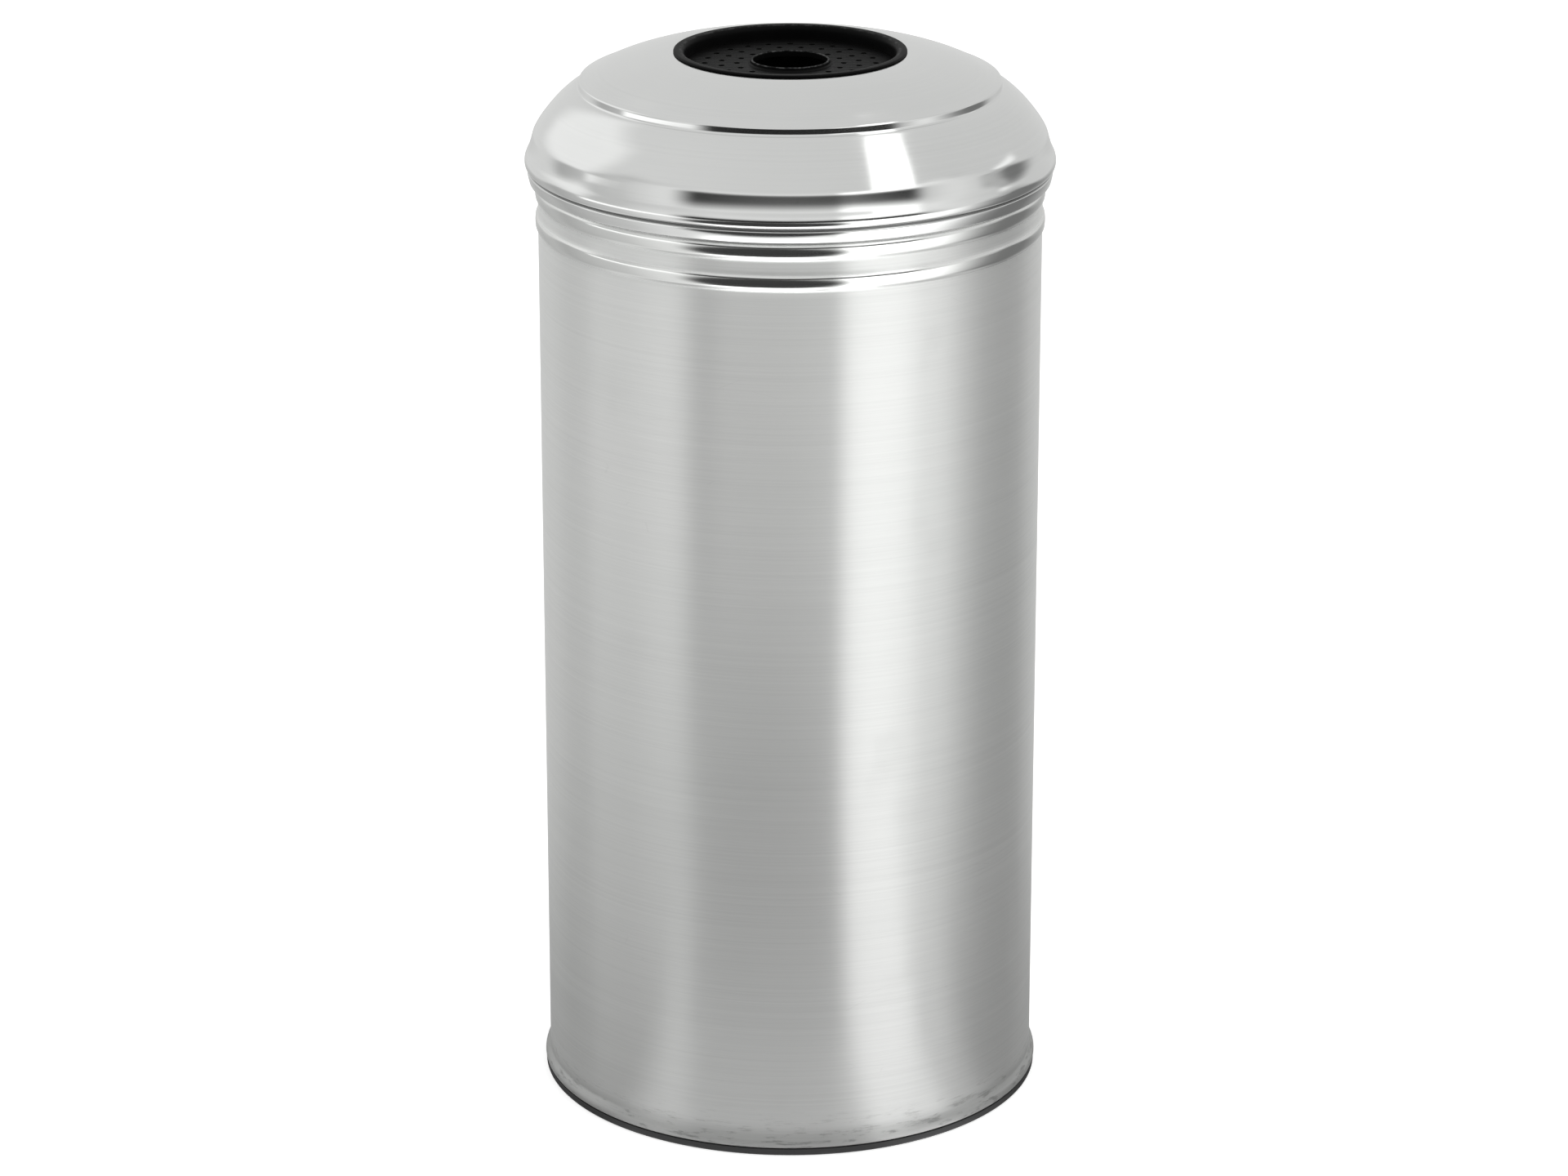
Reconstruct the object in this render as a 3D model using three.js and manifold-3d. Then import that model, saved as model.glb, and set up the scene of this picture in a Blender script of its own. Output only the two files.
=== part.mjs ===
// Free-standing round ashtray bin in stainless steel, with a domed lift-off lid,
// a black ashtray insert in the crown of the dome and a lift-out inner bucket.
// Units are millimetres, +Z is up, and the origin is the centre of the base on the floor.
import * as THREE from "three";
import { mergeVertices } from "three/addons/utils/BufferGeometryUtils.js";
import Module from "manifold-3d";

const wasm = await Module();
wasm.setup();

// ---- driving dimensions ----------------------------------------------------
const FACETS = 36; // facets round every piece that shares the bin's axis
const GAP = 0.3; // gap left where two pieces touch

// body
const BODY_R = 150; // outside of the rolled body
const BODY_T = 0.8;
const BODY_HEM_Z = 4.6; // lower edge of the body's rolled-out hem
const HEM_R = 153;
const BODY_CURL_R = 2.1; // radius of the curl along the top edge
const BODY_TOP_Z = 576.7; // top of that curl
const RIB_PROUD = 1.8; // the two rolled ribs under the lid
const RIB_HALF = 7.2;
const RIB_Z = [543, 560.4];
const PAN_Z = 12.4; // underside of the body's floor
const PAN_T = 1.0;
const TRIM_Z = 4.2; // visible height of the black base trim
const TRIM_R = 152.6;

// lid
const LID_T = 1.0;
const LID_BEAD_R = 157.5; // widest point of the bin
const LID_SKIRT_R = 155;
const LID_SKIRT_Z = 568;
const LID_TOP_Z = 642.9;
const LID_HOLE_R = 66;
const COLLAR_R = 148.4; // outside of the locating collar, inside the body
const COLLAR_T = 1.0;
const COLLAR_Z = 558;

// ashtray insert
const TRAY_T = 1.2;
const TRAY_RIM_R = 69;
const TRAY_RIM_Z = 644.4; // highest point of the bin
const TRAY_WALL_R = 62.2; // inside of the recess
const TRAY_LEDGE_Z = 634.4; // ledge that the stub plate lies on
const TRAY_LEDGE_R = 56.5;
const FUNNEL_R = 30; // inside of the funnel's mouth
const FUNNEL_Z = 600;
const PLATE_R = 61.8;
const PLATE_T = 1.2;
const DROP_R = 22; // drop hole in the stub plate
const PERF_R = 1.8; // radius of each small hole in the stub plate
const PERF_RINGS = [
  [31.5, 16],
  [41, 20],
  [50.5, 24],
];

// inner bucket
const BUCKET_TOP_R = 124;
const BUCKET_BASE_R = 112;
const BUCKET_T = 0.8;
const BUCKET_Z = 13.8; // lower edge
const BUCKET_TOP_Z = 424; // centre of the wired rim
const BUCKET_FLOOR_Z = 20;
const RIM_CURL_R = 2.6;
const RIM_WIRE_R = 1.5;

// bail handle
const PIVOT_Z = 436;
const PIVOT_HOLE_R = 2.5;
const EAR_T = 1.6;
const EAR_PAD_X = 124.05;
const EAR_TOP_X = 129;
const RIVET_Y = 9;
const RIVET_Z = 402;
const RIVET_R = 2;
const BAIL_R = 139; // pivot axis to the middle of the bow
const BAIL_WIRE_R = 2;
const BAIL_BEND_R = 4.5;
const BAIL_DROOP = 20; // degrees below level where the bail lies on the bucket
const GRIP_R = 6.5;
const GRIP_HALF_ARC = 20; // degrees each side of the middle

// ---- materials -------------------------------------------------------------
const steelSatin = () =>
  new THREE.MeshStandardMaterial({ color: 0xb9bbb8, metalness: 1, roughness: 0.34 });
const steelPolished = () =>
  new THREE.MeshStandardMaterial({ color: 0xcbcccb, metalness: 1, roughness: 0.16 });
const blackEnamel = () =>
  new THREE.MeshStandardMaterial({ color: 0x0c0c0d, metalness: 0, roughness: 0.3 });
const blackTrim = () =>
  new THREE.MeshStandardMaterial({ color: 0x1b1b1c, metalness: 0, roughness: 0.7 });
const galvanised = () =>
  new THREE.MeshStandardMaterial({ color: 0x9da2a4, metalness: 1, roughness: 0.45 });
const zincWire = () =>
  new THREE.MeshStandardMaterial({ color: 0xa9adad, metalness: 1, roughness: 0.3 });
const blackPlastic = () =>
  new THREE.MeshStandardMaterial({ color: 0x151516, metalness: 0, roughness: 0.5 });

// ---- helpers ---------------------------------------------------------------
const rad = (d) => (d * Math.PI) / 180;

// Keeps position only, merges shared vertices and drops collapsed triangles.
function clean(geometry) {
  const g = geometry.clone();
  for (const name of Object.keys(g.attributes))
    if (name !== "position") g.deleteAttribute(name);
  g.clearGroups();
  const merged = mergeVertices(g, 1e-4);
  const kept = [];
  const index = merged.index.array;
  for (let i = 0; i < index.length; i += 3) {
    const [a, b, c] = [index[i], index[i + 1], index[i + 2]];
    if (a !== b && b !== c && c !== a) kept.push(a, b, c);
  }
  merged.setIndex(kept);
  return merged;
}

function solid(geometry) {
  const g = clean(geometry);
  return new wasm.Manifold(
    new wasm.Mesh({
      numProp: 3,
      vertProperties: new Float32Array(g.attributes.position.array),
      triVerts: new Uint32Array(g.index.array),
    }),
  );
}

function geometryOf(manifold) {
  const m = manifold.getMesh();
  const xyz = new Float32Array(m.numVert * 3);
  for (let i = 0; i < m.numVert; i++)
    xyz.set(m.vertProperties.subarray(i * m.numProp, i * m.numProp + 3), i * 3);
  return new THREE.BufferGeometry()
    .setAttribute("position", new THREE.BufferAttribute(xyz, 3))
    .setIndex(Array.from(m.triVerts));
}

const cut = (geometry, ...tools) =>
  geometryOf(tools.reduce((s, t) => s.subtract(solid(t)), solid(geometry)));

// Revolves a closed [radius, height] outline about +Z, with its faces outwards.
function revolve(outline, facets = FACETS) {
  let area = 0;
  outline.forEach(([r, z], i) => {
    const [r2, z2] = outline[(i + 1) % outline.length];
    area += r * z2 - r2 * z;
  });
  const points = (area < 0 ? [...outline].reverse() : outline).map(
    ([r, z]) => new THREE.Vector2(r, z),
  );
  points.push(points[0].clone());
  return clean(
    new THREE.LatheGeometry(points, facets).rotateX(Math.PI / 2),
  );
}

// Outline of a sheet: one surface as an open line, and the other at thickness t to
// its left when t is positive, or to its right when t is negative.
function sheet(line, t) {
  const other = line.map(([r, z], i) => {
    const before = line[Math.max(i - 1, 0)];
    const after = line[Math.min(i + 1, line.length - 1)];
    const unit = (p, q) => {
      const d = Math.hypot(q[0] - p[0], q[1] - p[1]) || 1;
      return [(q[0] - p[0]) / d, (q[1] - p[1]) / d];
    };
    const u = i ? unit(before, [r, z]) : unit([r, z], after);
    const v = i < line.length - 1 ? unit([r, z], after) : u;
    const n = [-(u[1] + v[1]), u[0] + v[0]];
    const len = Math.hypot(...n);
    const half = (-(u[1] * n[0]) + u[0] * n[1]) / len; // cosine of half the turn
    const k = t / Math.max(half, 0.5) / len;
    return [r + n[0] * k, z + n[1] * k];
  });
  return [...line, ...other.reverse()];
}

// Points on an arc, angles in degrees.
function arc(cr, cz, radius, from, to, steps) {
  return Array.from({ length: steps + 1 }, (_, i) => {
    const a = rad(from + ((to - from) * i) / steps);
    return [cr + radius * Math.cos(a), cz + radius * Math.sin(a)];
  });
}

// A wire's centre line through given points that lie in one plane.
class WirePath extends THREE.Curve {
  constructor(points, planeNormal) {
    super();
    this.points = points;
    this.planeNormal = planeNormal;
  }
  getPoint(t) {
    const s = t * (this.points.length - 1);
    const i = Math.min(Math.floor(s), this.points.length - 2);
    return this.points[i].clone().lerp(this.points[i + 1], s - i);
  }
  getSpacedPoints() {
    return this.points.map((p) => p.clone());
  }
  computeFrenetFrames() {
    const tangents = this.points.map((p, i) =>
      this.points[Math.min(i + 1, this.points.length - 1)]
        .clone()
        .sub(this.points[Math.max(i - 1, 0)])
        .normalize(),
    );
    const binormals = this.points.map(() => this.planeNormal.clone());
    const normals = tangents.map((t) => this.planeNormal.clone().cross(t));
    return { tangents, normals, binormals };
  }
}

function circleShape(r, sides) {
  const s = new THREE.Shape();
  for (let i = 0; i < sides; i++) {
    const a = (2 * Math.PI * i) / sides;
    i ? s.lineTo(r * Math.cos(a), r * Math.sin(a)) : s.moveTo(r, 0);
  }
  s.closePath();
  return s;
}

const swept = (shape, path) =>
  clean(
    new THREE.ExtrudeGeometry(shape, {
      extrudePath: path,
      steps: path.points.length - 1,
      bevelEnabled: false,
    }),
  );

// A cylinder whose axis lies along X, or along Z.
const pegX = (r, x0, x1, y, z, sides = 12) =>
  new THREE.CylinderGeometry(r, r, x1 - x0, sides)
    .rotateZ(Math.PI / 2)
    .translate((x0 + x1) / 2, y, z);
const pegZ = (r, z0, z1, x, y, sides = 6) =>
  new THREE.CylinderGeometry(r, r, z1 - z0, sides)
    .rotateX(Math.PI / 2)
    .translate(x, y, (z0 + z1) / 2);

function mesh(name, geometry, material) {
  const g = geometry.index ? geometry.toNonIndexed() : geometry;
  g.computeVertexNormals();
  const m = new THREE.Mesh(g, material);
  m.name = name;
  return m;
}

const bin = new THREE.Group();
bin.name = "ashtray_bin";
const housing = new THREE.Group();
const bucket = new THREE.Group();
const bail = new THREE.Group();
const lid = new THREE.Group();
const ashtray = new THREE.Group();
bin.add(housing, bucket, lid);
bucket.add(bail);
lid.add(ashtray);

// ---- housing ---------------------------------------------------------------
// Rolled sheet body: a rolled-out hem at the foot, two ribs near the top and a curl
// turned outwards along the top edge.
const rib = (z) => [
  [BODY_R, z - RIB_HALF],
  [BODY_R + RIB_PROUD * 0.55, z - RIB_HALF * 0.5],
  [BODY_R + RIB_PROUD, z],
  [BODY_R + RIB_PROUD * 0.55, z + RIB_HALF * 0.5],
  [BODY_R, z + RIB_HALF],
];
const curlR = BODY_R - BODY_T + BODY_CURL_R;
const curlZ = BODY_TOP_Z - BODY_CURL_R;
const bodyOutside = [
  [HEM_R - 1.2, BODY_HEM_Z],
  [HEM_R, 6.8],
  [HEM_R - 0.4, 9],
  [BODY_R, 12.4],
  ...RIB_Z.flatMap(rib),
  ...arc(curlR, curlZ, BODY_CURL_R - BODY_T, 180, -100, 5),
];
housing.add(
  mesh("body_shell", revolve(sheet(bodyOutside, BODY_T)), steelSatin()),
);

// Pressed floor with a turned-up edge welded inside the body, and a low ring that
// keeps the bucket central.
const panEdge = BODY_R - BODY_T - GAP;
housing.add(
  mesh(
    "base_pan",
    revolve([
      [0, PAN_Z],
      [panEdge, PAN_Z],
      [panEdge, 25],
      [panEdge - PAN_T, 25],
      [panEdge - PAN_T, PAN_Z + PAN_T],
      [122, PAN_Z + PAN_T],
      [120.5, PAN_Z + PAN_T + 3],
      [118, PAN_Z + PAN_T + 3],
      [116.5, PAN_Z + PAN_T],
      [0, PAN_Z + PAN_T],
    ]),
    steelSatin(),
  ),
);

// Black edging under the hem; its lower face is what stands on the floor.
housing.add(
  mesh(
    "base_trim_ring",
    revolve([
      [146.2, 0],
      [151.8, 0],
      [TRIM_R, 0.9],
      [TRIM_R, TRIM_Z],
      [148.8, TRIM_Z],
      [148.8, PAN_Z - GAP],
      [146.2, PAN_Z - GAP],
    ]),
    blackTrim(),
  ),
);

// ---- lid -------------------------------------------------------------------
// Pressed dome: flat crown round the opening, shallow upper dome, pressed step,
// steeper lower dome, rolled bead at the widest point and a short skirt.
const domeOutside = [
  [LID_SKIRT_R - 0.2, LID_SKIRT_Z],
  [LID_SKIRT_R + 1, 573.8],
  [LID_BEAD_R - 0.4, 576.8],
  [LID_BEAD_R, 579],
  [156.6, 582],
  [153.8, 586.2],
  [152.5, 590.4],
  [151.9, 594.6],
  [149.8, 598.6],
  [145.4, 605.4],
  [140, 611.8],
  [132.2, 618.7],
  [128, 621.4],
  [125.7, 622.8],
  [124.6, 625],
  [123.6, 627.2],
  [120.4, 628.8],
  [111.6, 633],
  [100, 637.4],
  [86, 640.8],
  [72.5, LID_TOP_Z],
  [LID_HOLE_R, LID_TOP_Z],
];
lid.add(mesh("dome_lid", revolve(sheet(domeOutside, LID_T)), steelPolished()));

// Locating collar, welded inside the dome above its bead: its step sits on the body's
// curl and its long leg centres the lid in the body.
lid.add(
  mesh(
    "lid_collar",
    revolve([
      [COLLAR_R - COLLAR_T, COLLAR_Z],
      [COLLAR_R, COLLAR_Z],
      [COLLAR_R, BODY_TOP_Z + GAP],
      [153.6, BODY_TOP_Z + GAP],
      [150.9, 588.6],
      [150.9, 592],
      [150, 592],
      [150, 588.4],
      [152.4, BODY_TOP_Z + GAP + COLLAR_T],
      [COLLAR_R - COLLAR_T, BODY_TOP_Z + GAP + COLLAR_T],
    ]),
    steelSatin(),
  ),
);

// ---- ashtray insert --------------------------------------------------------
// Flanged recess that hangs in the dome's opening, with a ledge and a funnel below.
const traySurface = [
  [TRAY_RIM_R, TRAY_RIM_Z - 0.7],
  [TRAY_RIM_R - 0.6, TRAY_RIM_Z],
  [64.8, TRAY_RIM_Z],
  [TRAY_WALL_R + 0.4, 642.4],
  [TRAY_WALL_R, TRAY_LEDGE_Z],
  [TRAY_LEDGE_R, TRAY_LEDGE_Z],
  [FUNNEL_R, 606],
  [FUNNEL_R, FUNNEL_Z],
];
const traySection = sheet(traySurface, TRAY_T);
traySection[traySection.length - 1] = [TRAY_RIM_R, TRAY_RIM_Z - TRAY_T];
traySection[traySection.length - 2] = [TRAY_RIM_R - 1, TRAY_RIM_Z - TRAY_T];
ashtray.add(mesh("ashtray_insert", revolve(traySection), blackEnamel()));

// Stub plate: lies on the ledge, with a raised lip round its drop hole and three
// rings of small holes.
const plateZ = TRAY_LEDGE_Z + GAP;
const plateBlank = revolve([
  [DROP_R, plateZ],
  [PLATE_R, plateZ],
  [PLATE_R, plateZ + PLATE_T],
  [DROP_R + 2.6, plateZ + PLATE_T],
  [DROP_R + 1.4, plateZ + PLATE_T + 0.6],
  [DROP_R + 1.2, plateZ + 3.2],
  [DROP_R + 0.5, plateZ + 3.6],
  [DROP_R, plateZ + 3.2],
]);
const perforations = PERF_RINGS.flatMap(([r, n], ring) =>
  Array.from({ length: n }, (_, i) => {
    const a = (2 * Math.PI * (i + 0.5 * (ring % 2))) / n;
    return pegZ(PERF_R, plateZ - 1, plateZ + PLATE_T + 1, r * Math.cos(a), r * Math.sin(a));
  }),
);
ashtray.add(mesh("stub_plate", cut(plateBlank, ...perforations), blackEnamel()));

// ---- inner bucket ----------------------------------------------------------
const taper = (BUCKET_TOP_R - BUCKET_BASE_R) / (BUCKET_TOP_Z - BUCKET_Z);
const wallR = (z) => BUCKET_BASE_R + (z - BUCKET_Z) * taper;
const bead = (z) => [
  [wallR(z - 4), z - 4],
  [wallR(z) + 1.5, z],
  [wallR(z + 4), z + 4],
];
const rimR = BUCKET_TOP_R - BUCKET_T + RIM_CURL_R;
const bucketOutside = [
  [BUCKET_BASE_R + 0.6, BUCKET_Z],
  [BUCKET_BASE_R + 1.6, BUCKET_Z + 1.2],
  [BUCKET_BASE_R + 1.6, BUCKET_Z + 5],
  [wallR(BUCKET_Z + 6.6), BUCKET_Z + 6.6],
  ...bead(150),
  ...bead(330),
  [wallR(BUCKET_TOP_Z - 6), BUCKET_TOP_Z - 6],
  ...arc(rimR, BUCKET_TOP_Z, RIM_CURL_R - BUCKET_T, 180, -105, 5),
];
const rivetSpots = [-1, 1].flatMap((side) =>
  [-1, 1].map((s) => [side, s * RIVET_Y]),
);
const bucketHoles = rivetSpots.map(([side, y]) =>
  pegX(RIVET_R + GAP, side > 0 ? 112 : -127, side > 0 ? 127 : -112, y, RIVET_Z),
);
bucket.add(
  mesh(
    "bucket_shell",
    cut(revolve(sheet(bucketOutside, BUCKET_T)), ...bucketHoles),
    galvanised(),
  ),
);

// Raised bottom with a flange down to the bucket's foot.
const flangeR = BUCKET_BASE_R - BUCKET_T - 0.4;
bucket.add(
  mesh(
    "bucket_base",
    revolve([
      [0, BUCKET_FLOOR_Z - BUCKET_T],
      [flangeR - BUCKET_T, BUCKET_FLOOR_Z - BUCKET_T],
      [flangeR - BUCKET_T, BUCKET_Z],
      [flangeR, BUCKET_Z],
      [flangeR, BUCKET_FLOOR_Z],
      [0, BUCKET_FLOOR_Z],
    ]),
    galvanised(),
  ),
);

// Wire rolled into the bucket's rim.
bucket.add(
  mesh(
    "bucket_rim_wire",
    revolve(arc(rimR, BUCKET_TOP_Z, RIM_WIRE_R, 0, 315, 7)),
    zincWire(),
  ),
);

// Handle ears: a pad riveted to the wall, a joggle out past the rim and a rounded
// eye above it for the bail.
function ear(side) {
  const section = new THREE.Shape(
    [
      [EAR_PAD_X, 391],
      [EAR_PAD_X + EAR_T, 391],
      [EAR_PAD_X + EAR_T, 415.4],
      [EAR_TOP_X + EAR_T, 419.8],
      [EAR_TOP_X + EAR_T, 450],
      [EAR_TOP_X, 450],
      [EAR_TOP_X, 420.4],
      [EAR_PAD_X, 416],
    ].map(([x, z]) => new THREE.Vector2(x, z)),
  );
  const strip = new THREE.ExtrudeGeometry(section, {
    depth: 40,
    bevelEnabled: false,
  })
    .rotateX(Math.PI / 2)
    .translate(0, 20, 0);
  const front = new THREE.Shape();
  front.moveTo(-15, 396);
  front.lineTo(-12, 392.5);
  front.lineTo(12, 392.5);
  front.lineTo(15, 396);
  front.lineTo(15, 411);
  front.lineTo(9, 424);
  for (let i = 0; i <= 8; i++) {
    const a = rad((180 * i) / 8);
    front.lineTo(9 * Math.cos(a), PIVOT_Z + 9 * Math.sin(a));
  }
  front.lineTo(-9, 424);
  front.lineTo(-15, 411);
  front.closePath();
  const outline = new THREE.ExtrudeGeometry(front, {
    depth: 20,
    bevelEnabled: false,
    curveSegments: 1,
  })
    .rotateX(Math.PI / 2)
    .rotateZ(Math.PI / 2)
    .translate(115, 0, 0);
  let s = solid(strip).intersect(solid(outline));
  s = s.subtract(solid(pegX(PIVOT_HOLE_R, 120, 140, 0, PIVOT_Z, 16)));
  for (const y of [-RIVET_Y, RIVET_Y])
    s = s.subtract(solid(pegX(RIVET_R + GAP, 115, 135, y, RIVET_Z)));
  const g = geometryOf(s);
  return side > 0 ? g : g.rotateZ(Math.PI);
}
bucket.add(mesh("handle_ear_left", ear(-1), galvanised()));
bucket.add(mesh("handle_ear_right", ear(1), galvanised()));

// Rivets with a domed head outside and a flatter one inside.
const rivetNames = [
  "ear_rivet_left_front",
  "ear_rivet_left_rear",
  "ear_rivet_right_front",
  "ear_rivet_right_rear",
];
rivetSpots.forEach(([side, y], i) => {
  const head = EAR_PAD_X + EAR_T + GAP;
  const g = revolve(
    [
      [0, 119.6],
      [2.8, 119.8],
      [3.4, 120.9],
      [RIVET_R, 120.9],
      [RIVET_R, head],
      [3.9, head],
      [3.3, head + 1.2],
      [1.6, head + 1.8],
      [0, head + 1.9],
    ],
    12,
  )
    .rotateY(Math.PI / 2)
    .rotateZ(side > 0 ? 0 : Math.PI)
    .translate(0, y, RIVET_Z);
  bucket.add(mesh(rivetNames[i], g, zincWire()));
});

// ---- bail ------------------------------------------------------------------
// The bail turns about a line along X through the ears. It is drawn in its own plane
// and laid down behind the bucket, a little below level.
const droop = rad(-BAIL_DROOP);
const inPlane = (x, s) =>
  new THREE.Vector3(x, s * Math.cos(droop), PIVOT_Z + s * Math.sin(droop));
const planeNormal = new THREE.Vector3(0, -Math.sin(droop), Math.cos(droop));
const bend = Array.from({ length: 5 }, (_, i) => {
  const a = rad(-90 + (90 * i) / 4);
  return [
    BAIL_R - BAIL_BEND_R + BAIL_BEND_R * Math.cos(a),
    BAIL_BEND_R + BAIL_BEND_R * Math.sin(a),
  ];
});
const first = (Math.asin(BAIL_BEND_R / BAIL_R) * 180) / Math.PI;
const bow = arc(0, 0, BAIL_R, first, 180 - first, 30).slice(1, -1);
const half = [[124.5, 0], ...bend];
const bailLine = [
  ...half,
  ...bow,
  ...half.map(([x, s]) => [-x, s]).reverse(),
].map(([x, s]) => inPlane(x, s));
bail.add(
  mesh(
    "bail_wire",
    swept(circleShape(BAIL_WIRE_R, 8), new WirePath(bailLine, planeNormal)),
    zincWire(),
  ),
);

// Moulded grip, curved with the bow, loose on the wire.
const gripShape = circleShape(GRIP_R, 12);
gripShape.holes.push(new THREE.Path(circleShape(BAIL_WIRE_R + GAP, 8).getPoints()));
const gripLine = arc(0, 0, BAIL_R, 90 - GRIP_HALF_ARC, 90 + GRIP_HALF_ARC, 8).map(
  ([x, s]) => inPlane(x, s),
);
bail.add(
  mesh("bail_grip", swept(gripShape, new WirePath(gripLine, planeNormal)), blackPlastic()),
);

export default bin;
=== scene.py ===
import math

import bmesh
import bpy
from mathutils import Matrix, Vector


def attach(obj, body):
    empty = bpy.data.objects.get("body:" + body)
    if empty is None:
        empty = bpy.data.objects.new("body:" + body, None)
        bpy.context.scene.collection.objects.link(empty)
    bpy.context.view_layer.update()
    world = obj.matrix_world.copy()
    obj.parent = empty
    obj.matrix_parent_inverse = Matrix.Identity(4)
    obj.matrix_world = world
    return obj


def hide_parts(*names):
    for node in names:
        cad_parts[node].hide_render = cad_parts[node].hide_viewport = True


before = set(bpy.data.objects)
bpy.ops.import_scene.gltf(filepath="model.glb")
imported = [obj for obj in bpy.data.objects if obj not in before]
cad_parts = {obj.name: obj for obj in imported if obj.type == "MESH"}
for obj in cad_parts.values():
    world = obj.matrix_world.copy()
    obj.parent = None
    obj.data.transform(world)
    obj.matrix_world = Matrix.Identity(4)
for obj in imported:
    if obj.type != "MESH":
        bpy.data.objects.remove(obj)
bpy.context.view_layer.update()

MM = 0.001
scene = bpy.context.scene
ROUND = 288  # segments round the large shells


# ---------------------------------------------------------------- line helpers
def catmull(points, step):
    """Points every `step` on a centripetal Catmull-Rom spline through `points`."""
    if len(points) == 2:
        (r0, z0), (r1, z1) = points
        n = max(1, round(math.hypot(r1 - r0, z1 - z0) / step))
        return [(r0 + (r1 - r0) * i / n, z0 + (z1 - z0) * i / n) for i in range(n + 1)]
    first = (2 * points[0][0] - points[1][0], 2 * points[0][1] - points[1][1])
    last = (2 * points[-1][0] - points[-2][0], 2 * points[-1][1] - points[-2][1])
    p = [first, *points, last]
    out = [points[0]]
    for i in range(1, len(p) - 2):
        p0, p1, p2, p3 = p[i - 1 : i + 3]
        t = [0.0]
        for a, b in ((p0, p1), (p1, p2), (p2, p3)):
            t.append(t[-1] + max(math.hypot(b[0] - a[0], b[1] - a[1]), 1e-6) ** 0.5)
        n = max(2, math.ceil(math.hypot(p2[0] - p1[0], p2[1] - p1[1]) / step))
        for k in range(1, n + 1):
            s = t[1] + (t[2] - t[1]) * k / n

            def mix(a, b, ta, tb):
                w = (s - ta) / (tb - ta)
                return (a[0] + (b[0] - a[0]) * w, a[1] + (b[1] - a[1]) * w)

            a1, a2, a3 = mix(p0, p1, t[0], t[1]), mix(p1, p2, t[1], t[2]), mix(p2, p3, t[2], t[3])
            b1, b2 = mix(a1, a2, t[0], t[2]), mix(a2, a3, t[1], t[3])
            out.append(mix(b1, b2, t[1], t[2]))
    return out


def relax(line, passes, stiff=lambda r, z: 0.5):
    """Evens out a line's curvature; `stiff` gives how far a point may move towards its neighbours' middle."""
    line = list(line)
    for _ in range(passes):
        new = line[:]
        for i in range(1, len(line) - 1):
            k = stiff(*line[i])
            mr = (line[i - 1][0] + line[i + 1][0]) / 2
            mz = (line[i - 1][1] + line[i + 1][1]) / 2
            new[i] = (line[i][0] + (mr - line[i][0]) * k, line[i][1] + (mz - line[i][1]) * k)
        line = new
    return line


def arc(cr, cz, radius, a0, a1, steps):
    return [
        (
            cr + radius * math.cos(math.radians(a0 + (a1 - a0) * i / steps)),
            cz + radius * math.sin(math.radians(a0 + (a1 - a0) * i / steps)),
        )
        for i in range(steps + 1)
    ]


def sheet(line, t):
    """Closed outline of a sheet: `line`, and its offset by t to the left of its direction."""
    other = []
    for i, (r, z) in enumerate(line):
        a, b = line[max(i - 1, 0)], line[min(i + 1, len(line) - 1)]

        def unit(p, q):
            d = math.hypot(q[0] - p[0], q[1] - p[1]) or 1.0
            return ((q[0] - p[0]) / d, (q[1] - p[1]) / d)

        u = unit(a, (r, z)) if i else unit((r, z), b)
        v = unit((r, z), b) if i < len(line) - 1 else u
        n = (-(u[1] + v[1]), u[0] + v[0])
        d = math.hypot(*n) or 1.0
        half = (-u[1] * n[0] + u[0] * n[1]) / d
        k = t / max(half, 0.6) / d
        other.append((r + n[0] * k, z + n[1] * k))
    return [*line, *reversed(other)]


def hem_end(line, t, at_start=True, steps=5):
    """Rounds the cut edge of a sheet's closed outline made by sheet(): returns the outline with a half-round end."""
    n = len(line) // 2
    if at_start:
        p, q = line[0], line[-1]
        a, b = line[1], line[-2]
    else:
        p, q = line[n - 1], line[n]
        a, b = line[n - 2], line[n + 1]
    c = ((p[0] + q[0]) / 2, (p[1] + q[1]) / 2)
    away = ((p[0] - a[0] + q[0] - b[0]), (p[1] - a[1] + q[1] - b[1]))
    d = math.hypot(*away) or 1.0
    away = (away[0] / d, away[1] / d)
    rad = math.hypot(p[0] - c[0], p[1] - c[1])
    side = ((p[0] - c[0]) / rad, (p[1] - c[1]) / rad)
    pts = []
    for i in range(1, steps):
        w = math.pi * i / steps
        pts.append(
            (
                c[0] + rad * (side[0] * math.cos(w) + away[0] * math.sin(w)),
                c[1] + rad * (side[1] * math.cos(w) + away[1] * math.sin(w)),
            )
        )
    if at_start:  # the outline runs p ... q, and closes q -> p
        return [*line, *reversed(pts)]
    return [*line[:n], *pts, *line[n:]]


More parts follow.
